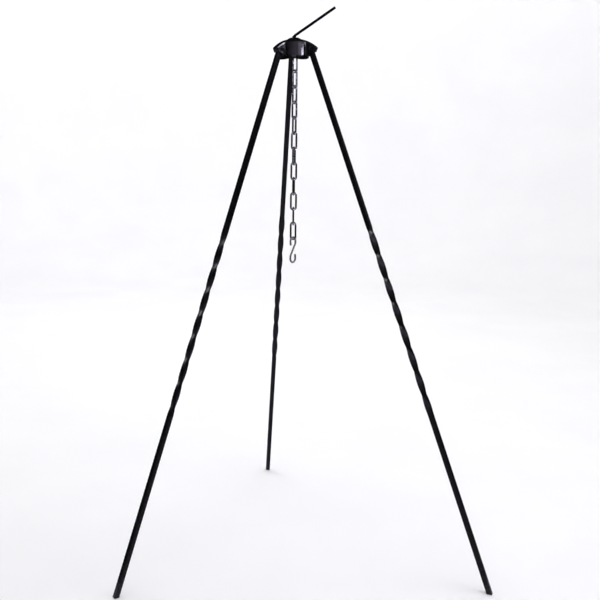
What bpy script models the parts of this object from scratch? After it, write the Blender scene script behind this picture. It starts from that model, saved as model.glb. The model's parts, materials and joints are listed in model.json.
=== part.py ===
"""Campfire tripod: three twisted square-bar legs hinged under a pressed steel cap, a hanger rod that
swivels in the cap, and a chain with an S-hook that hangs from the rod.
Metres, +Z up, the feet stand on z = 0."""

import math

import bmesh
import bpy
from mathutils import Matrix, Vector

NAME = "campfire_tripod"
GAP = 0.0003  # between pieces that touch

# legs
BAR = 0.009  # side of the square bar
SPLAY = math.radians(20)
FOOT_RADIUS = 0.3948  # from the tripod's axis to the middle of each foot
PIVOT_Z = 0.9952  # height of the leg hinges
TWIST_LOW = 0.340  # along the leg from the foot
TWIST_HIGH = 0.710
QUARTER_TURNS = 8
STEPS_A_QUARTER = 5
LEGS = {"left": 210, "right": 330, "back": 90}  # azimuths in degrees

# cap: a dome with three wings, one over each leg, and a lobed skirt between them
SHEET = 0.0018
DOME_TOP = 1.0135
DOME_RADIUS = 0.067
CENTRE_HOLE = 0.0032
WING_TIP = 0.046
WING_HALF = BAR / 2 + 0.0004 + SHEET
WING_CORNER = 0.003
WING_SHOULDER = 0.0024
WING_INSET = 0.0029  # from the outline to the dome's last ring
LIP_ANGLE = math.radians(23)  # how far the wing's end leans in below its rim
LIP_Z = 0.9870
LOBE_RADIUS = 0.0262  # at the shoulder
LOBE_DRAFT = math.radians(4)  # how far its wall leans out below the shoulder
LOBE_SHOULDER = 0.0045
LOBE_INSET = 0.0036
LOBE_FILLET = 0.003  # between a lobe and a wing
LOBE_Z = 0.977
LOBE_RISE = 0.0022  # of the lower edge, from a lobe's middle to its ends
WALL_Z = 0.980  # lower edge where a wing's wall meets a lobe

# rivets
RIVET_RADIUS = 0.002
RIVET_HEAD_RADIUS = 0.0038
RIVET_HEAD_HEIGHT = 0.002

# hanger rod, with its collar and eye, and the washer that it turns on
ROD_RADIUS = 0.0026
HANDLE_AZIMUTH = -7.8
HANDLE_RISE = math.radians(33.7)
HANDLE_BEND = 0.004
HANDLE_BEND_Z = 1.0165
HANDLE_LENGTH = 0.0888
WASHER_RADIUS = 0.012
WASHER_THICKNESS = 0.001
COLLAR_RADIUS = 0.009
COLLAR_TOP_RADIUS = 0.0032
COLLAR_TOP = 1.0182
COLLAR_EDGE = 0.0004  # thickness at its rim
EYE_RADIUS = 0.007
EYE_OFFSET = 0.003
EYE_Z = 0.987
EYE_NECK = 0.004
EYE_END = math.radians(28)

# chain
LINKS = 12
LINK_WIRE = 0.0018
LINK_LENGTH = 0.03295  # between the middles of the wire at its two ends
LINK_HALF = 0.0049  # from the link's middle to the wire's middle
CHAIN_TURN = 45  # degrees by which the upper links are turned
TURNED_LINKS = 3
STRAIGHT_LINK = 11  # the first link that isn't turned
LAST_LINK_TURN = -19

# S-hook
HOOK_WIRE = 0.0018
HOOK_HALF = 0.0071
HOOK_HEIGHT = 0.0494
HOOK_TIP = 0.0155  # from the hook's top down to its upper tip
HOOK_BEND = 0.006
HOOK_STRAIGHT = 0.0055  # from each end of the S to the corner where its diagonal starts
HOOK_NIP = 0.0006  # by which each tip leans in
HOOK_TURN = 48
HOOK_RIDE = 0.0002  # it crosses the last link at a slant, so it rides a little higher


def leg_radius(z):
    """Distance from the tripod's axis to a leg's middle at height z."""
    return FOOT_RADIUS - z * math.tan(SPLAY)


def foot_reach():
    """Furthest radius of a foot, which is cut level with the floor."""
    return FOOT_RADIUS + BAR / 2 / math.cos(SPLAY)


def axis_y():
    """Where the tripod's axis stands, so that the box around the feet is centred on the origin."""
    back = foot_reach()
    front = foot_reach() * math.sin(math.radians(30)) + BAR / 2 * math.cos(math.radians(30))
    return (front - back) / 2


def dome_z(radius):
    return DOME_TOP - DOME_RADIUS + math.sqrt(DOME_RADIUS**2 - radius**2)


def mix(low, high, share):
    return low + (high - low) * min(max(share, 0), 1)


def collection(name, hidden=False):
    made = bpy.data.collections.new(name)
    made.hide_render = hidden
    bpy.context.scene.collection.children.link(made)
    return made


def material(name, colour, roughness, metallic):
    made = bpy.data.materials.new(name)
    made.use_nodes = True
    shader = made.node_tree.nodes["Principled BSDF"]
    shader.inputs["Base Color"].default_value = (*colour, 1)
    shader.inputs["Roughness"].default_value = roughness
    shader.inputs["Metallic"].default_value = metallic
    made.diffuse_color = (*colour, 1)
    return made


def add(name, data, parent, finish=None, location=(0, 0, 0), rotation=(0, 0, 0)):
    """A new object under parent: a sub-part if it has a finish, and an empty or a cutter if it has none."""
    made = bpy.data.objects.new(name, data)
    (PARTS if finish else HELPERS).objects.link(made)
    made.parent = parent
    made.location = location
    made.rotation_euler = rotation
    if finish:
        data.materials.clear()
        data.materials.append(finish)
    elif data:
        made.hide_render = True
        made.display_type = "WIRE"
    return made


def mesh_from(bm, name):
    bmesh.ops.recalc_face_normals(bm, faces=bm.faces)
    mesh = bpy.data.meshes.new(name)
    bm.to_mesh(mesh)
    bm.free()
    return mesh


def turned(name, profile, closed=False):
    """A mesh of one profile line in the XZ plane, for a Screw modifier."""
    mesh = bpy.data.meshes.new(name)
    edges = [(i, i + 1) for i in range(len(profile) - 1)]
    if closed:
        edges.append((len(profile) - 1, 0))
    mesh.from_pydata([(r, 0, z) for r, z in profile], edges, [])
    return mesh


def screw(obj, steps):
    made = obj.modifiers.new("turn", "SCREW")
    made.steps = made.render_steps = steps
    made.use_merge_vertices = True
    made.merge_threshold = 0.00005
    made.use_smooth_shade = True


def cut(obj, cutter):
    made = obj.modifiers.new("cut", "BOOLEAN")
    made.operation = "DIFFERENCE"
    made.object = cutter


def pin_cutter(name, parent, location, rotation):
    """A cylinder across a wing, a little wider than the rivet."""
    bm = bmesh.new()
    radius = RIVET_RADIUS + GAP
    bmesh.ops.create_cone(
        bm, cap_ends=True, segments=20, radius1=radius, radius2=radius, depth=3 * BAR
    )
    bmesh.ops.rotate(bm, verts=bm.verts, matrix=Matrix.Rotation(math.radians(90), 3, "X"))
    return add(name, mesh_from(bm, name), parent, location=location, rotation=rotation)


def arc(centre, radius, start, end, steps):
    """Points of an arc in a plane, the ends included; angles run from its first axis to its second."""
    found = []
    for i in range(steps + 1):
        angle = mix(start, end, i / steps)
        found.append(
            (centre[0] + radius * math.cos(angle), centre[1] + radius * math.sin(angle))
        )
    return found


def upright(points, azimuth=0):
    """Points (x, z) of a plane that stands on the Z axis at an azimuth in degrees."""
    turn = Matrix.Rotation(math.radians(azimuth), 3, "Z")
    return [turn @ Vector((x, 0, z)) for x, z in points]


def wire(name, points, radius, cyclic=False, sides=8):
    curve = bpy.data.curves.new(name, "CURVE")
    curve.dimensions = "3D"
    curve.bevel_depth = radius
    curve.bevel_resolution = sides // 2 - 2
    curve.use_fill_caps = not cyclic
    spline = curve.splines.new("POLY")
    spline.points.add(len(points) - 1)
    for point, co in zip(spline.points, points):
        point.co = (*co, 1)
    spline.use_cyclic_u = cyclic
    spline.use_smooth = True
    return curve


def rounded(corners, radius, steps):
    """A path through corners, with each inner corner rounded."""
    path = [corners[0]]
    for before, corner, after in zip(corners, corners[1:], corners[2:]):
        here = Vector(corner)
        back = (Vector(before) - here).normalized()
        on = (Vector(after) - here).normalized()
        half = back.angle(on) / 2
        reach = radius / math.tan(half)
        middle = here + (back + on).normalized() * (radius / math.sin(half))
        first = here + back * reach - middle
        last = here + on * reach - middle
        for i in range(steps + 1):
            path.append(tuple(middle + first.slerp(last, i / steps) * radius))
    path.append(corners[-1])
    return path


# cap


def wing_outline():
    """The cap's outline from the middle of a wing, on +X, to the middle of the next lobe, at 60 degrees.
    Each entry is (point, outward normal, share of the way from wing to lobe, lean, lower edge), where
    lean is how much of the lip's inward slope the wall below the point takes."""
    found = []
    corner = Vector((WING_TIP - WING_CORNER, WING_HALF - WING_CORNER))
    fillet_y = WING_HALF + LOBE_FILLET
    fillet_x = math.sqrt((LOBE_RADIUS + LOBE_FILLET) ** 2 - fillet_y**2)
    lobe_start = math.atan2(fillet_y, fillet_x)
    lobe_middle = math.radians(60)

    found.append((Vector((WING_TIP, 0)), Vector((1, 0)), 0, 1, LIP_Z))
    for i in range(5):
        angle = math.radians(90) * i / 4
        normal = Vector((math.cos(angle), math.sin(angle)))
        found.append((corner + normal * WING_CORNER, normal, 0, 1, LIP_Z))
    for i in range(1, 5):
        share = i / 5
        point = Vector((mix(corner.x, fillet_x, share), WING_HALF))
        found.append((point, Vector((0, 1)), 0, (1 - share) ** 2, mix(LIP_Z, WALL_Z, share)))
    for i in range(4):
        angle = mix(math.radians(90), lobe_start, i / 3)
        normal = Vector((math.cos(angle), math.sin(angle)))
        point = Vector((fillet_x, fillet_y)) - normal * LOBE_FILLET
        edge = mix(WALL_Z, LOBE_Z + LOBE_RISE, i / 3)
        found.append((point, normal, i / 6, 0, edge))
    for i in range(1, 7):
        angle = mix(lobe_start, lobe_middle, i / 6)
        normal = Vector((math.cos(angle), math.sin(angle)))
        rise = LOBE_RISE * ((lobe_middle - angle) / (lobe_middle - lobe_start)) ** 2
        found.append((normal * LOBE_RADIUS, normal, 0.5 + i / 4, 0, LOBE_Z + rise))
    return found


def cap_column(out, hole, point, normal, lobe, lean, edge):
    """Points of the cap's outer face: from its centre hole out over the dome, round the shoulder and
    down the wall. The direction out is the wing's."""
    shoulder = mix(WING_SHOULDER, LOBE_SHOULDER, lobe)
    slope = math.atan2(point.dot(normal), math.sqrt(DOME_RADIUS**2 - point.length_squared))
    start = point - normal * shoulder * (1 - math.sin(slope))
    centre = dome_z(start.length) - shoulder * math.cos(slope)
    inset = point - normal * mix(WING_INSET, LOBE_INSET, lobe)
    column = []
    for share in (0, 0.3, 0.65, 1):
        flat = hole.lerp(inset, share)
        column.append((*flat, dome_z(flat.length)))
    slant = math.tan(LIP_ANGLE) * lean
    draft = math.tan(LOBE_DRAFT) * lobe
    under = math.atan(slant * max(normal.dot(out), 0) - draft)
    for i in range(4):
        angle = mix(slope, math.radians(90) + under, i / 3)
        flat = point - normal * shoulder * (1 - math.sin(angle))
        column.append((*flat, centre + shoulder * math.cos(angle)))
    top = column[-1]
    for drop in ((top[2] - edge) / 2, top[2] - edge):
        flat = Vector(top[:2]) - out * drop * slant + normal * drop * draft
        column.append((*flat, top[2] - drop))
    return column


def cap_mesh():
    half = wing_outline()
    bm = bmesh.new()
    columns = []
    for azimuth in sorted(LEGS.values()):
        for side in (-1, 1):
            flip = Matrix.Diagonal((1, side))
            turn = Matrix.Rotation(math.radians(azimuth), 2) @ flip
            order = range(len(half) - 1) if side == 1 else range(len(half) - 1, 0, -1)
            for i in order:
                point, normal, *rest = half[i]
                angle = math.radians(60) * i / (len(half) - 1)
                hole = Vector((math.cos(angle), math.sin(angle))) * CENTRE_HOLE
                out = turn @ Vector((1, 0))
                column = cap_column(out, turn @ hole, turn @ point, turn @ normal, *rest)
                columns.append([bm.verts.new(co) for co in column])
    for left, right in zip(columns, columns[1:] + columns[:1]):
        for i in range(len(left) - 1):
            bm.faces.new((left[i], left[i + 1], right[i + 1], right[i]))
    mesh = bpy.data.meshes.new("head_cap")
    bm.to_mesh(mesh)
    bm.free()
    mesh.shade_smooth()
    return mesh


def make_cap(axis):
    cap = add("head_cap", cap_mesh(), axis, FINISH["cap_paint"])
    shell = cap.modifiers.new("sheet", "SOLIDIFY")
    shell.thickness = SHEET
    shell.offset = -1
    shell.use_even_offset = True
    return cap


# legs and rivets


def leg_mesh():
    """A leg along its own Z axis, hinge at the origin: a square bar with a rounded top end, its middle
    twisted."""
    half = BAR / 2
    foot = -PIVOT_Z / math.cos(SPLAY)
    round_levels = [half * math.sin(math.radians(a)) for a in (0, 20, 40, 60, 75)]
    steps = QUARTER_TURNS * STEPS_A_QUARTER
    twist_levels = [foot + mix(TWIST_LOW, TWIST_HIGH, i / steps) for i in range(steps + 1)]

    bm = bmesh.new()
    bmesh.ops.create_cube(bm, size=1)
    top = half * math.sin(math.radians(85))
    for v in bm.verts:
        v.co = Vector((v.co.x * BAR, v.co.y * BAR, top if v.co.z > 0 else foot))
    for z in twist_levels + round_levels:
        geometry = bm.verts[:] + bm.edges[:] + bm.faces[:]
        bmesh.ops.bisect_plane(bm, geom=geometry, plane_co=(0, 0, z), plane_no=(0, 0, 1))
    for v in bm.verts:
        x, y, z = v.co
        if z > 0:
            v.co.x = math.copysign(math.sqrt(half**2 - z**2), x)
        along = (z - foot - TWIST_LOW) / (TWIST_HIGH - TWIST_LOW)
        turn = math.radians(90) * QUARTER_TURNS * (1 - min(max(along, 0), 1))
        v.co = Matrix.Rotation(turn, 3, "Z") @ v.co
        if z < foot + BAR:
            v.co.z -= v.co.x * math.tan(SPLAY)
    return mesh_from(bm, "leg")


def make_leg(axis, side, azimuth, shape):
    """The leg, its rivet, and the holes that the rivet goes through."""
    angle = math.radians(azimuth)
    hinge = Vector((math.cos(angle), math.sin(angle), 0)) * leg_radius(PIVOT_Z)
    hinge.z = PIVOT_Z
    leg = add(f"leg_{side}", shape.copy(), axis, FINISH["leg_paint"], hinge, (0, -SPLAY, angle))
    cut(leg, pin_cutter(f"hole_{side}", axis, hinge, (0, 0, angle)))

    inner = WING_HALF + GAP
    outer = inner + RIVET_HEAD_HEIGHT
    head = [
        (0, outer),
        (RIVET_HEAD_RADIUS * 0.6, mix(inner, outer, 0.85)),
        (RIVET_HEAD_RADIUS * 0.9, mix(inner, outer, 0.5)),
        (RIVET_HEAD_RADIUS, inner),
        (RIVET_RADIUS, inner),
    ]
    profile = head + [(r, -z) for r, z in reversed(head)]
    rivet = add(
        f"pivot_rivet_{side}",
        turned(f"rivet_{side}", profile),
        axis,
        FINISH["rivet_paint"],
        hinge,
        (math.radians(90), 0, angle),
    )
    screw(rivet, 16)
    return bpy.data.objects[f"hole_{side}"]


# hanger rod and washer


def make_washer(axis):
    """A washer dished to the dome that it lies on."""
    radii = [mix(CENTRE_HOLE, WASHER_RADIUS, i / 3) for i in range(4)]
    top = [(r, dome_z(r) + GAP + WASHER_THICKNESS) for r in radii]
    bottom = [(r, dome_z(r) + GAP) for r in reversed(radii)]
    washer = add(
        "top_washer", turned("top_washer", top + bottom, closed=True), axis, FINISH["cap_paint"]
    )
    screw(washer, 32)


def make_collar(hanger_axis):
    """The cone welded round the rod, which carries the load onto the washer. It follows the washer's
    dish below."""
    lift = 2 * GAP + WASHER_THICKNESS
    base = dome_z(COLLAR_RADIUS) + lift
    waist = (mix(COLLAR_TOP_RADIUS, COLLAR_RADIUS, 0.2), mix(COLLAR_TOP, base, 0.35))
    flare = (mix(COLLAR_TOP_RADIUS, COLLAR_RADIUS, 0.75), base + 2 * COLLAR_EDGE)
    profile = [
        (0, COLLAR_TOP),
        (COLLAR_TOP_RADIUS, COLLAR_TOP),
        waist,
        flare,
        (COLLAR_RADIUS, base + COLLAR_EDGE),
        (COLLAR_RADIUS, base),
        (COLLAR_RADIUS / 2, dome_z(COLLAR_RADIUS / 2) + lift),
        (0, dome_z(0) + lift),
    ]
    collar = add("collar", turned("collar", profile), hanger_axis)
    screw(collar, 24)
    return collar


def handle_path():
    """The leaning handle, its bend, and the shank down to the eye's neck, in the handle's plane."""
    lean = math.radians(90) - HANDLE_RISE
    start = math.radians(180)
    bend = arc((HANDLE_BEND, HANDLE_BEND_Z), HANDLE_BEND, start, start - lean, 4)
    end = Vector(bend[-1])
    along = Vector((math.cos(HANDLE_RISE), math.sin(HANDLE_RISE)))
    return [tuple(end + along * HANDLE_LENGTH)] + bend[::-1]


def eye_path():
    """The neck and the eye, in the eye's plane, from the shank round to the rod's lower end."""
    drop = math.sqrt((EYE_NECK + EYE_RADIUS) ** 2 - (EYE_NECK + EYE_OFFSET) ** 2)
    neck_turn = math.atan2(drop, EYE_NECK + EYE_OFFSET)
    neck = arc((-EYE_NECK, EYE_Z + drop), EYE_NECK, 0, -neck_turn, 4)
    start = math.radians(180) - neck_turn
    end = math.radians(450) - EYE_END
    ring = arc((EYE_OFFSET, EYE_Z), EYE_RADIUS, start, end, 16)
    return neck + ring[1:]


def make_hanger(axis):
    """One bent rod: handle, shank and eye. The eye stands across the plane of the first link."""
    pivot = add("hanger_axis", None, axis)
    eye_azimuth = link_azimuth(1) - 90
    path = upright(handle_path(), HANDLE_AZIMUTH) + upright(eye_path(), eye_azimuth)
    guide = add("hanger_guide", wire("hanger_rod", path, ROD_RADIUS, sides=10), pivot)
    bpy.context.view_layer.update()
    mesh = bpy.data.meshes.new_from_object(
        guide.evaluated_get(bpy.context.evaluated_depsgraph_get())
    )
    bm = bmesh.new()
    bm.from_mesh(mesh)
    bmesh.ops.remove_doubles(bm, verts=bm.verts, dist=0.00001)
    rod = add("hanger_rod", mesh_from(bm, "hanger_rod"), pivot, FINISH["rod_paint"])
    bpy.data.objects.remove(guide)
    join = rod.modifiers.new("collar", "BOOLEAN")
    join.operation = "UNION"
    join.object = make_collar(pivot)
    return pivot, upright([(EYE_OFFSET, EYE_Z - EYE_RADIUS)], eye_azimuth)[0]


# chain and S-hook


def link_azimuth(number):
    """The azimuth of the plane that a link lies in, in degrees. Alternate links stand across each other."""
    turn = mix(0, CHAIN_TURN, (STRAIGHT_LINK - number) / (STRAIGHT_LINK - TURNED_LINKS))
    if number == LINKS:
        turn = LAST_LINK_TURN
    across = 0 if number % 2 == 0 else 90
    return HANDLE_AZIMUTH + across + turn


def link_curve():
    """A long oval link that hangs from its own origin, the middle of the wire at its upper end."""
    low = -LINK_LENGTH + LINK_HALF
    path = arc((0, -LINK_HALF), LINK_HALF, 0, math.radians(180), 6)
    path += arc((0, low), LINK_HALF, math.radians(180), math.radians(360), 6)
    return wire("link", upright(path), LINK_WIRE, cyclic=True)


def make_chain(parent, eye_bottom):
    """Each link hangs on the wire of the piece above it, and its pivot is in the middle of that wire."""
    shape = link_curve()
    above = ROD_RADIUS
    place = eye_bottom
    for number in range(1, LINKS + 1):
        pivot = add(f"pivot_{number:02d}", None, parent, location=place)
        lift = above + GAP + LINK_WIRE
        add(
            f"link_{number:02d}",
            shape,
            pivot,
            FINISH["chain_zinc"],
            (0, 0, lift),
            (0, 0, math.radians(link_azimuth(number))),
        )
        parent = pivot
        above = LINK_WIRE
        place = Vector((0, 0, lift - LINK_LENGTH))
    return parent, place


def hook_path():
    """The S, from its upper tip over the top, down across and round to its lower tip. The top is the
    origin."""
    top = arc((0, -HOOK_HALF), HOOK_HALF, math.radians(180), 0, 8)
    bottom = arc((0, HOOK_HALF - HOOK_HEIGHT), HOOK_HALF, math.radians(180), math.radians(360), 8)
    high_corner = (HOOK_HALF, -HOOK_HALF - HOOK_STRAIGHT)
    low_corner = (-HOOK_HALF, HOOK_HALF - HOOK_HEIGHT + HOOK_STRAIGHT)
    across = rounded([top[-1], high_corner, low_corner, bottom[0]], HOOK_BEND, 3)
    upper_tip = (HOOK_NIP - HOOK_HALF, -HOOK_TIP)
    lower_tip = (HOOK_HALF - HOOK_NIP, HOOK_TIP - HOOK_HEIGHT)
    return [upper_tip, *top, *across[1:-1], *bottom, lower_tip]


def make_hook(parent, place):
    pivot = add("pivot_hook", None, parent, location=place)
    add(
        "s_hook",
        wire("s_hook", upright(hook_path()), HOOK_WIRE),
        pivot,
        FINISH["hook_zinc"],
        (0, 0, LINK_WIRE + GAP + HOOK_RIDE + HOOK_WIRE),
        (0, 0, math.radians(HANDLE_AZIMUTH + HOOK_TURN)),
    )


for old in list(bpy.data.objects):
    bpy.data.objects.remove(old)

PARTS = collection(NAME)
HELPERS = collection("helpers", hidden=True)
BLACK = (0.012, 0.012, 0.013)
FINISH = {
    "cap_paint": material("cap_paint", BLACK, 0.25, 0),
    "leg_paint": material("leg_paint", BLACK, 0.35, 0),
    "rod_paint": material("rod_paint", BLACK, 0.35, 0),
    "rivet_paint": material("rivet_paint", BLACK, 0.4, 0),
    "chain_zinc": material("chain_zinc", (0.72, 0.73, 0.76), 0.22, 1),
    "hook_zinc": material("hook_zinc", (0.55, 0.55, 0.54), 0.35, 1),
}

tripod_axis = add("tripod_axis", None, None, location=(0, axis_y(), 0))
head = make_cap(tripod_axis)
make_washer(tripod_axis)
bar = leg_mesh()
for leg_side, leg_azimuth in LEGS.items():
    cut(head, make_leg(tripod_axis, leg_side, leg_azimuth, bar))
bpy.data.meshes.remove(bar)
swivel, eye = make_hanger(tripod_axis)
last_pivot, last_wire = make_chain(swivel, eye)
make_hook(last_pivot, last_wire)
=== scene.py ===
"""Looks of a campfire tripod: twisted black bars under a pressed cap, a bent rod, a zinc chain and an S-hook.
Metres, +Z up, in the frame of the CAD model."""

import json
import math

import bmesh
import bpy
from mathutils import Matrix, Vector


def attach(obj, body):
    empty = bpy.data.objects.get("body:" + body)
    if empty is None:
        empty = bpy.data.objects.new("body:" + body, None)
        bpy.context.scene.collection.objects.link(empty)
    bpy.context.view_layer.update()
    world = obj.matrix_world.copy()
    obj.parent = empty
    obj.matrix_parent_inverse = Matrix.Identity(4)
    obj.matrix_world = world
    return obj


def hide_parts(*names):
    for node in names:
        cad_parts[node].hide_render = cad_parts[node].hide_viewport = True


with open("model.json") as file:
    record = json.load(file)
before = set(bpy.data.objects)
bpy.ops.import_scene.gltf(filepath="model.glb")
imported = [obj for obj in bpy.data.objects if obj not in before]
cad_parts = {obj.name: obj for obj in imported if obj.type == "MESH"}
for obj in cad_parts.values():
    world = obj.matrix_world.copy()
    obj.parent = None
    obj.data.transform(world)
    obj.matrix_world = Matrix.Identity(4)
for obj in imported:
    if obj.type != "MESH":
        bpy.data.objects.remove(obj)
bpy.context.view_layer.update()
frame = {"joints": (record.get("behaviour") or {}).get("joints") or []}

JOINTS = {joint["name"]: joint for joint in frame["joints"]}
AXIS = Vector((0, JOINTS["hanger_swivel"]["pos_m"][1], 0))
LEGS = {"left": 210, "right": 330, "back": 90}  # azimuths in degrees
SPLAY = math.radians(20)

# legs
BAR = 0.009
BAR_CORNER = 0.0005
TWIST_LOW = 0.340
TWIST_HIGH = 0.710
TWIST_EASE = 0.010
QUARTER_TURNS = 8

# cap
SHEET = 0.0018
DOME_TOP = 1.0135
DOME_RADIUS = 0.067
CENTRE_HOLE = 0.0032
WING_TIP = 0.046
WING_HALF = BAR / 2 + 0.0004 + SHEET
WING_CORNER = 0.003
WING_SHOULDER = 0.0024
WING_INSET = 0.0029
LIP_ANGLE = math.radians(23)
LIP_Z = 0.9870
LOBE_RADIUS = 0.0262
LOBE_DRAFT = math.radians(4)
LOBE_LEAN = (1.75, 0.6)  # of the draft, at the top and at the bottom of a lobe's wall
LOBE_SHOULDER = 0.0045
LOBE_INSET = 0.0036
LOBE_FILLET = 0.003
LOBE_Z = 0.977
LOBE_RISE = 0.0022
WALL_Z = 0.980

# rivets
RIVET_RADIUS = 0.002
RIVET_HEAD_RADIUS = 0.0038
RIVET_HEAD_HEIGHT = 0.002

# rod
ROD = 0.0026
HANDLE_AZIMUTH = -7.8
HANDLE_RISE = math.radians(33.7)
HANDLE_BEND = 0.004
HANDLE_BEND_Z = 1.0165
HANDLE_LENGTH = 0.0888
WASHER_RADIUS = 0.012
WASHER_THICKNESS = 0.001
COLLAR_RADIUS = 0.009
COLLAR_TOP_RADIUS = 0.0032
COLLAR_TOP = 1.0182
EYE_RADIUS = 0.007
EYE_OFFSET = 0.003
EYE_Z = 0.987
EYE_NECK = 0.004
EYE_END = math.radians(28)

# chain and hook
LINKS = 12
CHAIN_TURN = 45  # degrees by which the upper links are turned
TURNED_LINKS = 3
STRAIGHT_LINK = 11  # the first link that isn't turned
LAST_LINK_TURN = -19
LINK_WIRE = 0.0018
LINK_LENGTH = 0.03295
LINK_HALF = 0.0049
HOOK_WIRE = 0.0018
HOOK_HALF = 0.0071
HOOK_HEIGHT = 0.0494
HOOK_TIP = 0.0155
HOOK_BEND = 0.006
HOOK_STRAIGHT = 0.0055
HOOK_NIP = 0.0006
HOOK_TURN = 48
HOOK_RIDE = 0.0002
GAP = 0.0003


# shapes


def mix(low, high, share):
    return low + (high - low) * min(max(share, 0), 1)


def smooth(share):
    share = min(max(share, 0), 1)
    return share * share * (3 - 2 * share)


def mesh_from(bm, name, sharp=None):
    bmesh.ops.recalc_face_normals(bm, faces=bm.faces)
    mesh = bpy.data.meshes.new(name)
    bm.to_mesh(mesh)
    bm.free()
    mesh.shade_smooth()
    if sharp:
        mesh.set_sharp_from_angle(angle=math.radians(sharp))
    return mesh


def skin(rings, name, closed=False, sharp=None):
    """A mesh through rings of points. An open one gets a fan of triangles on each end."""
    bm = bmesh.new()
    rows = [[bm.verts.new(co) for co in ring] for ring in rings]
    count = len(rows[0])
    for a, b in zip(rows, rows[1:] + rows[:1] if closed else rows[1:]):
        for i in range(count):
            j = (i + 1) % count
            bm.faces.new((a[i], a[j], b[j], b[i]))
    if not closed:
        for row in (rows[0], rows[-1]):
            middle = bm.verts.new(sum((v.co for v in row), Vector()) / count)
            for i in range(count):
                bm.faces.new((row[i], row[(i + 1) % count], middle))
    return mesh_from(bm, name, sharp)


def turned(profile, steps, name, sharp=None, wobble=None):
    """A solid of revolution about Z. The profile runs from the top of the axis to its bottom."""
    rings = []
    for r, z in profile:
        ring = []
        for i in range(steps):
            angle = math.tau * i / steps
            reach = r + (wobble(angle, r, z) if wobble else 0)
            ring.append(Vector((reach * math.cos(angle), reach * math.sin(angle), z)))
        rings.append(ring)
    return skin(rings, name, sharp=sharp)


def sweep(points, radii, sides, name, closed=False, facing=None, sharp=None):
    """A round wire along points. Its section is carried along without twisting."""
    count = len(points)
    rings = []
    side = facing
    for i, point in enumerate(points):
        before = points[i - 1] if i or closed else point
        after = points[(i + 1) % count] if i < count - 1 or closed else point
        along = (after - before).normalized()
        side = (side - along * side.dot(along)).normalized()
        up = along.cross(side)
        ring = []
        for k in range(sides):
            angle = math.tau * k / sides
            ring.append(point + (side * math.cos(angle) + up * math.sin(angle)) * radii[i])
        rings.append(ring)
    return skin(rings, name, closed, sharp)


def arc(centre, radius, start, end, steps):
    found = []
    for i in range(steps + 1):
        angle = mix(start, end, i / steps)
        found.append((centre[0] + radius * math.cos(angle), centre[1] + radius * math.sin(angle)))
    return found


def upright(points, azimuth=0):
    """Points (x, z) of a plane that stands on the Z axis at an azimuth in degrees."""
    turn = Matrix.Rotation(math.radians(azimuth), 3, "Z")
    return [turn @ Vector((x, 0, z)) for x, z in points]


def spaced(path, step, closed=False):
    """The same path with no stretch longer than step."""
    found = []
    ends = path[1:] + path[:1] if closed else path[1:]
    for a, b in zip(path, ends):
        pieces = max(1, math.ceil((b - a).length / step))
        found += [a.lerp(b, i / pieces) for i in range(pieces)]
    return found if closed else found + [path[-1]]


def rounded(corners, radius, steps):
    path = [corners[0]]
    for before, corner, after in zip(corners, corners[1:], corners[2:]):
        here = Vector(corner)
        back = (Vector(before) - here).normalized()
        on = (Vector(after) - here).normalized()
        half = back.angle(on) / 2
        reach = radius / math.tan(half)
        middle = here + (back + on).normalized() * (radius / math.sin(half))
        first = here + back * reach - middle
        last = here + on * reach - middle
        for i in range(steps + 1):
            path.append(tuple(middle + first.slerp(last, i / steps) * radius))
    path.append(corners[-1])
    return path


def end_radii(path, radius, chamfer):
    """The wire's radius at each point, drawn in over the last chamfer at both ends."""
    found = []
    for point in path:
        near = min((point - path[0]).length, (point - path[-1]).length)
        share = min(near / chamfer, 1)
        found.append(radius * mix(0.62, 1, math.sqrt(1 - (1 - share) ** 2)))
    return found


def with_ends(path, chamfer):
    """Extra points near both ends of a path, for its rounded ends."""
    head = [path[0] + (path[1] - path[0]).normalized() * chamfer * s for s in (0.12, 0.4, 1)]
    tail = [path[-1] + (path[-2] - path[-1]).normalized() * chamfer * s for s in (1, 0.4, 0.12)]
    return [path[0], *head, *path[1:-1], *tail, path[-1]]


# materials


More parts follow.
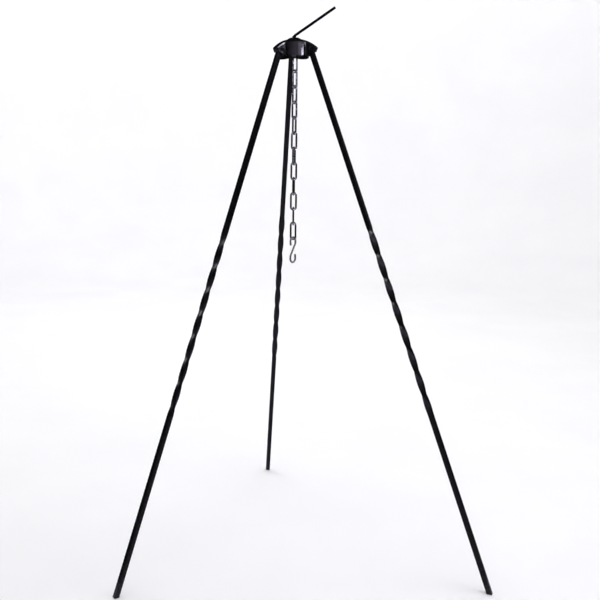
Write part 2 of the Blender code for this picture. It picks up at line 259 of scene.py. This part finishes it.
class Nodes:
    """A material's node tree, with short calls for the nodes that the finishes share."""

    def __init__(self, name):
        self.material = bpy.data.materials.new(name)
        self.material.use_nodes = True
        self.tree = self.material.node_tree
        self.shader = self.tree.nodes["Principled BSDF"]
        self.place = self.new("ShaderNodeTexCoord").outputs["Object"]

    def new(self, kind, **values):
        node = self.tree.nodes.new(kind)
        for key, value in values.items():
            setattr(node, key, value)
        return node

    def link(self, source, target):
        self.tree.links.new(source, target)

    def noise(self, scale, detail=3, rough=0.55, stretch=None):
        node = self.new("ShaderNodeTexNoise")
        node.inputs["Scale"].default_value = scale
        node.inputs["Detail"].default_value = detail
        node.inputs["Roughness"].default_value = rough
        place = self.place
        if stretch:
            mapping = self.new("ShaderNodeMapping")
            mapping.inputs["Scale"].default_value = stretch
            self.link(place, mapping.inputs["Vector"])
            place = mapping.outputs["Vector"]
        self.link(place, node.inputs["Vector"])
        return node.outputs["Fac"]

    def span(self, value, low, high, to_low, to_high):
        node = self.new("ShaderNodeMapRange")
        self.link(value, node.inputs["Value"])
        for key, number in (("From Min", low), ("From Max", high), ("To Min", to_low), ("To Max", to_high)):
            node.inputs[key].default_value = number
        return node.outputs["Result"]

    def times(self, a, b):
        node = self.new("ShaderNodeMath", operation="MULTIPLY")
        self.link(a, node.inputs[0])
        self.link(b, node.inputs[1])
        return node.outputs[0]

    def blend(self, factor, first, second):
        node = self.new("ShaderNodeMix", data_type="RGBA")
        self.link(factor, node.inputs["Factor"])
        for key, value in ((6, first), (7, second)):
            if isinstance(value, tuple):
                node.inputs[key].default_value = (*value, 1)
            else:
                self.link(value, node.inputs[key])
        return node.outputs[2]

    def bump(self, height, strength, distance, under=None):
        node = self.new("ShaderNodeBump")
        node.inputs["Strength"].default_value = strength
        node.inputs["Distance"].default_value = distance
        self.link(height, node.inputs["Height"])
        if under:
            self.link(under, node.inputs["Normal"])
        return node.outputs["Normal"]

    def finish(self, colour, roughness, normal, metallic, specular):
        self.link(colour, self.shader.inputs["Base Color"])
        self.link(roughness, self.shader.inputs["Roughness"])
        self.link(normal, self.shader.inputs["Normal"])
        self.shader.inputs["Metallic"].default_value = metallic
        self.shader.inputs["Specular IOR Level"].default_value = specular
        return self.material


def black_paint(name, gloss, specular, dust=0.0):
    """Stove paint: a fine orange peel over slow waves in the steel, uneven gloss, and pale specks of dust."""
    made = Nodes(name)
    cloud = made.noise(90, 4)
    colour = made.blend(made.span(cloud, 0.3, 0.7, 0, 1), (0.0015, 0.0015, 0.0017), (0.0042, 0.0040, 0.0043))
    speck = made.span(made.noise(2600, 2), 0.735, 0.78, 0, 1)
    patch = made.span(made.noise(45, 3), 0.42, 0.66, 0, 1)
    colour = made.blend(made.times(speck, patch), colour, (0.055, 0.052, 0.048))
    if dust:
        height = made.new("ShaderNodeSeparateXYZ")
        made.link(made.place, height.inputs["Vector"])
        low = made.span(height.outputs["Z"], dust, dust + 0.10, 1, 0)
        smear = made.span(made.noise(160, 5, 0.65), 0.46, 0.72, 0, 0.8)
        colour = made.blend(made.times(low, smear), colour, (0.034, 0.029, 0.024))
    rough = made.span(made.noise(140, 3), 0.3, 0.7, gloss - 0.05, gloss + 0.07)
    waves = made.bump(made.noise(120, 2), 0.10, 0.0012)
    peel = made.bump(made.noise(1300, 2, 0.5), 0.10, 0.00025, waves)
    return made.finish(colour, rough, peel, 0, specular)


def zinc(name, light, dark, low, high, spangle):
    """Zinc plate on drawn wire: cloudy brightness, fine draw lines, small dull spots."""
    made = Nodes(name)
    cloud = made.span(made.noise(spangle, 4, 0.6), 0.34, 0.66, 0, 1)
    colour = made.blend(cloud, dark, light)
    spot = made.span(made.noise(1500, 3), 0.66, 0.74, 0, 0.7)
    colour = made.blend(spot, colour, tuple(0.55 * c for c in dark))
    rough = made.span(made.noise(700, 3), 0.3, 0.7, low, high)
    lines = made.bump(made.noise(900, 3, 0.6, (1, 1, 0.12)), 0.12, 0.0003)
    grain = made.bump(made.noise(3200, 2), 0.08, 0.0001, lines)
    return made.finish(colour, rough, grain, 1, 0.5)


FINISH = {
    "cap_paint": black_paint("cap_gloss_black", 0.11, 0.5),
    "leg_paint": black_paint("leg_black", 0.15, 0.36, dust=-1.06),
    "rod_paint": black_paint("rod_black", 0.24, 0.16),
    "rivet_paint": black_paint("rivet_black", 0.20, 0.45),
    "chain_zinc": zinc("chain_bright_zinc", (0.78, 0.79, 0.82), (0.46, 0.47, 0.50), 0.10, 0.20, 420),
    "hook_zinc": zinc("hook_dull_zinc", (0.62, 0.62, 0.54), (0.34, 0.34, 0.29), 0.22, 0.38, 520),
}


def piece(name, mesh, place, body, slot, *nodes):
    """A new piece that stands for CAD nodes, rides on a body and takes a slot's finish."""
    made = bpy.data.objects.new(name, mesh)
    bpy.context.scene.collection.objects.link(made)
    made.matrix_world = place
    if not mesh.materials:
        mesh.materials.append(FINISH[slot])
    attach(made, body)
    if nodes:
        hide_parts(*nodes)
    return made


# cap


def dome_z(radius):
    return DOME_TOP - DOME_RADIUS + math.sqrt(DOME_RADIUS**2 - radius**2)


def wing_outline():
    """The cap's outline from the middle of a wing, on +X, to the middle of the next lobe, at 60 degrees.
    Each entry is (point, outward normal, share of the way from wing to lobe, lean, lower edge)."""
    found = []
    corner = Vector((WING_TIP - WING_CORNER, WING_HALF - WING_CORNER))
    fillet_y = WING_HALF + LOBE_FILLET
    fillet_x = math.sqrt((LOBE_RADIUS + LOBE_FILLET) ** 2 - fillet_y**2)
    lobe_start = math.atan2(fillet_y, fillet_x)
    lobe_middle = math.radians(60)
    for i in range(3):
        found.append((Vector((WING_TIP, corner.y * i / 3)), Vector((1, 0)), 0, 1, LIP_Z))
    for i in range(11):
        angle = math.radians(90) * i / 10
        normal = Vector((math.cos(angle), math.sin(angle)))
        found.append((corner + normal * WING_CORNER, normal, 0, 1, LIP_Z))
    for i in range(1, 10):
        share = i / 10
        point = Vector((mix(corner.x, fillet_x, share), WING_HALF))
        edge = mix(LIP_Z, WALL_Z, smooth(share))
        found.append((point, Vector((0, 1)), 0, (1 - share) ** 2, edge))
    for i in range(9):
        angle = mix(math.radians(90), lobe_start, i / 8)
        normal = Vector((math.cos(angle), math.sin(angle)))
        point = Vector((fillet_x, fillet_y)) - normal * LOBE_FILLET
        edge = mix(WALL_Z, LOBE_Z + LOBE_RISE, smooth(i / 8))
        found.append((point, normal, smooth(i / 16), 0, edge))
    for i in range(1, 21):
        angle = mix(lobe_start, lobe_middle, i / 20)
        normal = Vector((math.cos(angle), math.sin(angle)))
        rise = LOBE_RISE * ((lobe_middle - angle) / (lobe_middle - lobe_start)) ** 2
        found.append((normal * LOBE_RADIUS, normal, smooth(0.5 + i / 12), 0, LOBE_Z + rise))
    return found


def cap_column(out, hole, point, normal, lobe, lean, edge):
    shoulder = mix(WING_SHOULDER, LOBE_SHOULDER, lobe)
    slope = math.atan2(point.dot(normal), math.sqrt(DOME_RADIUS**2 - point.length_squared))
    start = point - normal * shoulder * (1 - math.sin(slope))
    centre = dome_z(start.length) - shoulder * math.cos(slope)
    inset = point - normal * mix(WING_INSET, LOBE_INSET, lobe)
    column = []
    for i in range(13):
        flat = hole.lerp(inset, i / 12)
        column.append((*flat, dome_z(flat.length)))
    slant = math.tan(LIP_ANGLE) * lean
    draft = math.tan(LOBE_DRAFT) * lobe
    under = math.atan(slant * max(normal.dot(out), 0) - LOBE_LEAN[0] * draft)
    for i in range(9):
        angle = mix(slope, math.radians(90) + under, i / 8)
        flat = point - normal * shoulder * (1 - math.sin(angle))
        column.append((*flat, centre + shoulder * math.cos(angle)))
    top = column[-1]
    for i in range(1, 8):
        drop = (top[2] - edge) * i / 7
        flare = drop * draft * mix(LOBE_LEAN[0], sum(LOBE_LEAN) / 2, i / 7)
        flat = Vector(top[:2]) - out * drop * slant + normal * flare
        column.append((*flat, top[2] - drop))
    return column


def cap_mesh():
    half = wing_outline()
    bm = bmesh.new()
    columns = []
    for azimuth in sorted(LEGS.values()):
        for side in (-1, 1):
            turn = Matrix.Rotation(math.radians(azimuth), 2) @ Matrix.Diagonal((1, side))
            order = range(len(half) - 1) if side == 1 else range(len(half) - 1, 0, -1)
            for i in order:
                point, normal, *rest = half[i]
                angle = math.radians(60) * i / (len(half) - 1)
                hole = Vector((math.cos(angle), math.sin(angle))) * CENTRE_HOLE
                out = turn @ Vector((1, 0))
                column = cap_column(out, turn @ hole, turn @ point, turn @ normal, *rest)
                columns.append([bm.verts.new(co) for co in column])
    for left, right in zip(columns, columns[1:] + columns[:1]):
        for i in range(len(left) - 1):
            bm.faces.new((left[i], left[i + 1], right[i + 1], right[i]))
    mesh = bpy.data.meshes.new("cap_shell")
    bm.to_mesh(mesh)
    bm.free()
    mesh.shade_smooth()
    return mesh


cap = piece("cap_shell", cap_mesh(), Matrix.Translation(AXIS), "head", "cap_paint", "head_cap")
shell = cap.modifiers.new("sheet", "SOLIDIFY")
shell.thickness = SHEET
shell.offset = -1
shell.use_even_offset = True
rim = cap.modifiers.new("rim", "BEVEL")
rim.width = 0.0005
rim.segments = 3
rim.limit_method = "ANGLE"
rim.angle_limit = math.radians(55)


# washer, collar and rod


def washer_mesh():
    """Dished to the dome, with rounded rims."""
    half = WASHER_THICKNESS / 2
    section = []
    for i in range(9):
        angle = math.radians(90) - math.radians(180) * i / 8
        r = WASHER_RADIUS - half + half * math.cos(angle)
        section.append((r, dome_z(r) + GAP + half + half * math.sin(angle)))
    for i in range(9):
        angle = math.radians(270) - math.radians(180) * i / 8
        r = CENTRE_HOLE + half + half * math.cos(angle)
        section.append((r, dome_z(r) + GAP + half + half * math.sin(angle)))
    rings = []
    for i in range(64):
        turn = Matrix.Rotation(math.tau * i / 64, 3, "Z")
        rings.append([turn @ Vector((r, 0, z)) for r, z in section])
    return skin(rings, "washer", closed=True)


piece("washer_disc", washer_mesh(), Matrix.Translation(AXIS), "head", "cap_paint", "top_washer")


def rod_mesh():
    lean = math.radians(90) - HANDLE_RISE
    bend = arc((HANDLE_BEND, HANDLE_BEND_Z), HANDLE_BEND, math.radians(180), math.radians(180) - lean, 12)
    along = Vector((math.cos(HANDLE_RISE), math.sin(HANDLE_RISE)))
    handle = [tuple(Vector(bend[-1]) + along * HANDLE_LENGTH)] + bend[::-1]
    drop = math.sqrt((EYE_NECK + EYE_RADIUS) ** 2 - (EYE_NECK + EYE_OFFSET) ** 2)
    neck_turn = math.atan2(drop, EYE_NECK + EYE_OFFSET)
    neck = arc((-EYE_NECK, EYE_Z + drop), EYE_NECK, 0, -neck_turn, 10)
    ring = arc((EYE_OFFSET, EYE_Z), EYE_RADIUS, math.pi - neck_turn, math.radians(450) - EYE_END, 44)
    path = upright(handle, HANDLE_AZIMUTH) + upright(neck + ring[1:], HANDLE_AZIMUTH + CHAIN_TURN)
    path = with_ends(spaced(path, 0.006), 0.0008)
    return sweep(path, end_radii(path, ROD, 0.0008), 28, "hanger", facing=Vector((0, 1, 0)), sharp=40)


def collar_mesh():
    """The cone, hollow-sided, with a ragged bead of weld where the rod leaves it."""
    lift = 2 * GAP + WASHER_THICKNESS
    base = dome_z(COLLAR_RADIUS) + lift
    bead = 0.0011
    rim = 0.0003
    profile = [(COLLAR_TOP_RADIUS - bead * 0.6, COLLAR_TOP + 0.0006)]
    for i in range(7):
        angle = math.radians(90 - 150 * i / 6)
        r = COLLAR_TOP_RADIUS - bead * 0.4 + bead * math.cos(angle)
        profile.append((r, COLLAR_TOP - 0.0006 + bead * math.sin(angle)))
    waist = profile[-1]
    for i in range(1, 9):
        share = i / 8
        r = mix(waist[0], COLLAR_RADIUS - rim, share)
        sag = 0.0009 * math.sin(math.pi * share)
        profile.append((r, mix(waist[1], base + 0.0007, share) - sag))
    for i in range(5):
        angle = math.radians(75 - 75 * i / 4)
        r = COLLAR_RADIUS - rim + rim * math.cos(angle)
        profile.append((r, base + 0.0004 + rim * math.sin(angle)))
    profile.append((COLLAR_RADIUS, base))
    for share in (0.8, 0.5, 0.25):
        profile.append((COLLAR_RADIUS * share, dome_z(COLLAR_RADIUS * share) + lift))

    def ripple(angle, r, z):
        near = max(0, 1 - abs(z - COLLAR_TOP) / 0.0016)
        wave = math.sin(angle * 11 + 0.7 * math.sin(angle * 3)) + 0.5 * math.sin(angle * 5 + 1)
        return 0.00022 * near * wave * min(r / COLLAR_TOP_RADIUS, 1)

    return turned(profile, 96, "collar", wobble=ripple)


piece("hanger_bar", rod_mesh(), Matrix.Translation(AXIS), "hanger", "rod_paint", "hanger_rod")
piece("hanger_cone", collar_mesh(), Matrix.Translation(AXIS), "hanger", "rod_paint")


# legs and rivets


def twist_at(distance):
    """Turned angle at a distance up the twisted stretch. The twist starts and ends over a short ease."""
    length = TWIST_HIGH - TWIST_LOW
    whole = math.radians(90) * QUARTER_TURNS
    rate = whole / (length - TWIST_EASE)
    distance = min(max(distance, 0), length)
    if distance < TWIST_EASE:
        return rate * distance**2 / 2 / TWIST_EASE
    if distance > length - TWIST_EASE:
        return whole - rate * (length - distance) ** 2 / 2 / TWIST_EASE
    return rate * (distance - TWIST_EASE / 2)


def bar_section(corner):
    """A square with rounded corners, counterclockwise."""
    half = BAR / 2
    found = []
    for quarter in range(4):
        turn = Matrix.Rotation(math.radians(90) * quarter, 2)
        found.append(turn @ Vector((half, 0)))
        for i in range(5):
            angle = math.radians(90) * i / 4
            middle = Vector((half - corner, half - corner))
            found.append(turn @ (middle + corner * Vector((math.cos(angle), math.sin(angle)))))
    return found


def leg_mesh(hinge_z):
    """A leg along its own Z axis with the hinge at the origin."""
    half = BAR / 2
    foot = -hinge_z / math.cos(SPLAY)
    whole = math.radians(90) * QUARTER_TURNS
    section = bar_section(BAR_CORNER)
    levels = []
    for rise, grow in ((0, 0.84), (0.0002, 0.94), (0.0006, 1.0)):
        levels.append((foot + rise, grow, grow))
    for i in range(1, 8):
        levels.append((foot + mix(0.0006, TWIST_LOW, i / 8), 1, 1))
    steps = QUARTER_TURNS * 18
    for i in range(steps + 1):
        levels.append((foot + mix(TWIST_LOW, TWIST_HIGH, i / steps), 1, 1))
    for i in range(1, 8):
        levels.append((mix(foot + TWIST_HIGH, 0, i / 8), 1, 1))
    for i in range(10):
        angle = math.radians(86) * i / 9
        levels.append((half * math.sin(angle), math.cos(angle), 1 - 0.06 * (i / 9) ** 4))
    rings = []
    for z, wide, deep in levels:
        turn = Matrix.Rotation(whole - twist_at(z - foot - TWIST_LOW), 3, "Z")
        ring = []
        for x, y in section:
            point = turn @ Vector((x * wide, y * deep, z))
            if z < foot + BAR:
                point.z -= point.x * math.tan(SPLAY)
            ring.append(point)
        rings.append(ring)
    return skin(rings, "leg", sharp=60)


def rivet_mesh():
    """A pin along Z with two low domed heads."""
    inner = WING_HALF + 0.0001
    head = []
    for i in range(9):
        angle = math.radians(90) * i / 8
        r = RIVET_HEAD_RADIUS * math.sin(angle) ** 0.85
        head.append((max(r, 0.0002), inner + RIVET_HEAD_HEIGHT * math.cos(angle) ** 0.9))
    head.append((RIVET_HEAD_RADIUS - 0.0002, inner - 0.0001))
    head.append((RIVET_RADIUS, inner - 0.0001))
    profile = head + [(r, -z) for r, z in reversed(head)]
    return turned(profile, 40, "rivet", sharp=50)


bar = leg_mesh(JOINTS["leg_left_hinge"]["pos_m"][2])
rivet = rivet_mesh()
for side, azimuth in LEGS.items():
    hinge = Matrix.Translation(JOINTS[f"leg_{side}_hinge"]["pos_m"])
    hinge = hinge @ Matrix.Rotation(math.radians(azimuth), 4, "Z")
    lean = hinge @ Matrix.Rotation(-SPLAY, 4, "Y")
    piece(f"bar_{side}", bar, lean, f"leg_{side}", "leg_paint", f"leg_{side}")
    across = hinge @ Matrix.Rotation(math.radians(90), 4, "X")
    piece(f"rivet_{side}", rivet, across, "head", "rivet_paint", f"pivot_rivet_{side}")


# chain and hook


def link_azimuth(number):
    """The azimuth of the plane that a link lies in, in degrees."""
    turn = mix(0, CHAIN_TURN, (STRAIGHT_LINK - number) / (STRAIGHT_LINK - TURNED_LINKS))
    if number == LINKS:
        turn = LAST_LINK_TURN
    return HANDLE_AZIMUTH + (0 if number % 2 == 0 else 90) + turn


def link_mesh():
    """One long link hanging from its own origin, with a butt weld halfway down one side."""
    low = -LINK_LENGTH + LINK_HALF
    path = arc((0, -LINK_HALF), LINK_HALF, 0, math.pi, 18)
    path += arc((0, low), LINK_HALF, math.pi, math.tau, 18)
    path = spaced(upright(path), 0.0012, closed=True)
    weld = Vector((LINK_HALF, 0, -LINK_LENGTH / 2))
    radii = []
    for point in path:
        near = (point - weld).length / 0.0011
        groove = 0.05 * math.exp(-((near / 0.3) ** 2))
        radii.append(LINK_WIRE * (1 + 0.12 * math.exp(-near * near) - groove))
    return sweep(path, radii, 16, "link", closed=True, facing=Vector((0, 1, 0)))


def hook_mesh():
    top = arc((0, -HOOK_HALF), HOOK_HALF, math.pi, 0, 24)
    bottom = arc((0, HOOK_HALF - HOOK_HEIGHT), HOOK_HALF, math.pi, math.tau, 24)
    high = (HOOK_HALF, -HOOK_HALF - HOOK_STRAIGHT)
    low = (-HOOK_HALF, HOOK_HALF - HOOK_HEIGHT + HOOK_STRAIGHT)
    across = rounded([top[-1], high, low, bottom[0]], HOOK_BEND, 10)
    tips = (HOOK_NIP - HOOK_HALF, -HOOK_TIP), (HOOK_HALF - HOOK_NIP, HOOK_TIP - HOOK_HEIGHT)
    path = spaced(upright([tips[0], *top, *across[1:-1], *bottom, tips[1]]), 0.0015)
    path = with_ends(path, 0.0006)
    return sweep(path, end_radii(path, HOOK_WIRE, 0.0006), 20, "hook", facing=Vector((0, 1, 0)), sharp=40)


ring = link_mesh()
above = ROD
for number in range(1, LINKS + 1):
    pivot = Vector(JOINTS[f"link_{number:02d}_hinge"]["pos_m"])
    place = Matrix.Translation(pivot + Vector((0, 0, above + GAP + LINK_WIRE)))
    place = place @ Matrix.Rotation(math.radians(link_azimuth(number)), 4, "Z")
    piece(f"chain_link_{number:02d}", ring, place, f"link_{number:02d}", "chain_zinc", f"link_{number:02d}")
    above = LINK_WIRE

pivot = Vector(JOINTS["s_hook_hinge"]["pos_m"])
place = Matrix.Translation(pivot + Vector((0, 0, LINK_WIRE + GAP + HOOK_RIDE + HOOK_WIRE)))
place = place @ Matrix.Rotation(math.radians(HANDLE_AZIMUTH + HOOK_TURN), 4, "Z")
piece("hook_wire", hook_mesh(), place, "s_hook", "hook_zinc", "s_hook")


# studio


def stage_mesh():
    """A round floor that curves up into a wall."""
    profile = [(r, 0.0) for r in (0.5, 1.0, 1.7, 2.4, 3.0)]
    profile += [(3.0 + x, 1.2 + z) for x, z in arc((0, 0), 1.2, math.radians(-80), 0, 12)]
    profile.append((4.2, 4.5))
    bm = bmesh.new()
    rows = []
    for r, z in profile:
        turns = [math.tau * i / 96 for i in range(96)]
        rows.append([bm.verts.new((r * math.cos(t), r * math.sin(t), z)) for t in turns])
    bm.faces.new(rows[0])
    for a, b in zip(rows, rows[1:]):
        for i in range(96):
            j = (i + 1) % 96
            bm.faces.new((a[i], b[i], b[j], a[j]))
    mesh = bpy.data.meshes.new("studio")
    bm.to_mesh(mesh)
    bm.free()
    mesh.shade_smooth()
    return mesh


def stage_finish():
    made = Nodes("studio_white")
    colour = made.blend(made.span(made.noise(3, 3), 0.3, 0.7, 0, 1), (0.90, 0.90, 0.905), (0.93, 0.93, 0.93))
    rough = made.span(made.noise(8, 2), 0.3, 0.7, 0.85, 0.95)
    return made.finish(colour, rough, made.bump(made.noise(60, 2), 0.02, 0.001), 0, 0.1)


studio = bpy.data.objects.new("studio", stage_mesh())
bpy.context.scene.collection.objects.link(studio)
studio.data.materials.append(stage_finish())
studio.visible_glossy = False

HEAD = Vector((0, AXIS.y, 0.99))


def panel(name, spread, rise, reach, radiance, colour):
    """A soft light that stands round the head, between two azimuths and two elevations in degrees."""
    azimuth, elevation = (math.radians(sum(pair) / 2) for pair in (spread, rise))
    light = bpy.data.lights.new(name, "AREA")
    light.shape = "RECTANGLE"
    light.size = 2 * reach * math.tan(math.radians(spread[1] - spread[0]) / 2)
    light.size_y = 2 * reach * math.tan(math.radians(rise[1] - rise[0]) / 2)
    light.energy = 4 * light.size * light.size_y * radiance
    light.color = colour
    made = bpy.data.objects.new(name, light)
    bpy.context.scene.collection.objects.link(made)
    away = Vector((math.cos(azimuth), math.sin(azimuth), 0)) * math.cos(elevation)
    away.z = math.sin(elevation)
    made.location = HEAD + away * reach
    made.rotation_euler = (-away).to_track_quat("-Z", "Y").to_euler()
    made.visible_camera = False
    return made


window = panel("window_right", (-38, -10), (9.2, 13.3), 1.8, 19, (0.87, 0.85, 1.0))
panel("window_side", (-62, -39), (10, 22), 1.8, 1.2, (0.82, 0.76, 1.0))
panel("front_high", (-113, -83), (2.5, 6.5), 1.65, 2, (0.93, 0.93, 1.0))
glints = panel("front_low", (-113, -83), (-8, -3), 1.65, 7, (0.97, 0.97, 1.0))
for light, state in ((glints, "INCLUDE"), (window, "EXCLUDE")):
    group = bpy.data.collections.new(f"{light.name}_bars")
    for side in LEGS:
        group.objects.link(bpy.data.objects[f"bar_{side}"])
    for entry in group.collection_objects:
        entry.light_linking.link_state = state
    light.light_linking.receiver_collection = group


def wash(name, shape, sizes, energy, place, aim):
    """A soft light on the floor and the wall that shows in no reflection."""
    light = bpy.data.lights.new(name, "AREA")
    light.shape = shape
    light.size, light.size_y = sizes
    light.energy = energy
    made = bpy.data.objects.new(name, light)
    bpy.context.scene.collection.objects.link(made)
    made.location = place
    made.rotation_euler = Vector(aim).to_track_quat("-Z", "Y").to_euler()
    made.visible_glossy = False
    made.visible_camera = False


wash("overhead", "DISK", (3.6, 3.6), 85, (0, AXIS.y, 3.6), (0, 0, -1))
wash("wall_wash", "RECTANGLE", (4, 0.8), 60, (0, 1.3, 3.3), (0, 2.9, -2.1))


def studio_world():
    """Dim air that glows on the side of the window, for the reflections."""
    world = bpy.data.worlds.new("studio_air")
    world.use_nodes = True
    tree = world.node_tree

    def new(kind, **values):
        node = tree.nodes.new(kind)
        for key, value in values.items():
            setattr(node, key, value)
        return node

    def span(source, *numbers):
        node = new("ShaderNodeMapRange", interpolation_type="SMOOTHSTEP")
        tree.links.new(source, node.inputs["Value"])
        for key, number in zip(("From Min", "From Max", "To Min", "To Max"), numbers):
            node.inputs[key].default_value = number
        return node.outputs["Result"]

    def times(a, b, operation="MULTIPLY"):
        node = new("ShaderNodeMath", operation=operation)
        tree.links.new(a, node.inputs[0])
        tree.links.new(b, node.inputs[1])
        return node.outputs[0]

    def plus(a, b):
        return times(a, b, "ADD")

    place = new("ShaderNodeTexCoord").outputs["Generated"]
    toward = new("ShaderNodeVectorMath", operation="DOT_PRODUCT")
    toward.inputs[1].default_value = (0.93, -0.37, 0)
    tree.links.new(place, toward.inputs[0])
    split = new("ShaderNodeSeparateXYZ")
    tree.links.new(place, split.inputs["Vector"])
    glow = times(span(toward.outputs["Value"], -1.1, 1, 0, 1), span(split.outputs["Y"], 0.05, -0.4, 0.06, 1))
    glow = times(glow, span(split.outputs["Z"], 0.08, 0.2, 0.03, 1))
    glow = times(glow, span(split.outputs["Z"], 0.35, 0.7, 1, 0.15))
    glow = plus(glow, span(split.outputs["Z"], -0.12, -0.45, 0, 0.35))
    air = tree.nodes["Background"]
    air.inputs["Color"].default_value = (0.84, 0.76, 1.0, 1)
    tree.links.new(glow, air.inputs["Strength"])
    return world


bpy.context.scene.world = studio_world()

CAMERA_PLACE = (-0.2234, AXIS.y - 1.6145, 0.8247)
CAMERA_TURNS = (("Z", -0.156), ("X", 81.767), ("Z", -0.472))  # degrees

camera = bpy.data.cameras.new("camera")
camera.lens = 49.927
camera.sensor_width = 36
camera.shift_x = 0.2
camera.shift_y = -0.0646
camera.clip_start = 0.05
camera.clip_end = 50
viewer = bpy.data.objects.new("camera", camera)
bpy.context.scene.collection.objects.link(viewer)
stand = Matrix.Translation(CAMERA_PLACE)
for turn_axis, angle in CAMERA_TURNS:
    stand = stand @ Matrix.Rotation(math.radians(angle), 4, turn_axis)
viewer.matrix_world = stand
bpy.context.scene.camera = viewer
bpy.context.scene.view_settings.view_transform = "Standard"
